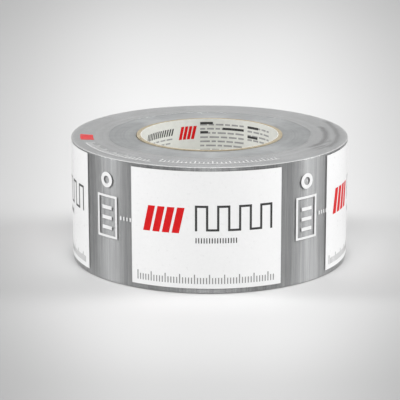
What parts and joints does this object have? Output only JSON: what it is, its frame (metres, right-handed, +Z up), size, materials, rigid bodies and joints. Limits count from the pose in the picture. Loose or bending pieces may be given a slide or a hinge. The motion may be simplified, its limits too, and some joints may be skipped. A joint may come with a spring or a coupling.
{
  "type": "duct tape roll",
  "caption": "Roll of silver cloth duct tape wound in a true spiral on a seamed paperboard core, in a clear shrink sleeve folded over both ends.",
  "frame": {"origin": "on the roll's axis, at the plane of the core's lower end, which the roll stands on", "axes": "+Z up along the core's axis; the front panel faces -Y; at the back, the tape's cut end lies 80 degrees and the sleeve's welded lap 132 degrees from +X"},
  "size_m": [0.1088, 0.1088, 0.0486],
  "materials": {
    "printed_paper": "smooth off-white printed paper",
    "core_board": "matt kraft board",
    "wound_tape": "satin grey sides of tightly wound tape, with fine rings",
    "adhesive": "tacky grey adhesive",
    "scrim": "open white cotton weave",
    "silver_backing": "satin silver polyethylene",
    "clear_film": "clear glossy shrink film with white printed panels"
  },
  "bodies": {
    "root": {"core_liner": "printed_paper", "core_ply_1": "core_board", "core_ply_2": "core_board", "core_ply_3": "core_board", "core_ply_4": "core_board", "tape_body": "wound_tape", "tape_adhesive": "adhesive", "tape_scrim": "scrim", "tape_backing": "silver_backing", "shrink_sleeve": "clear_film"}
  },
  "joints": []
}
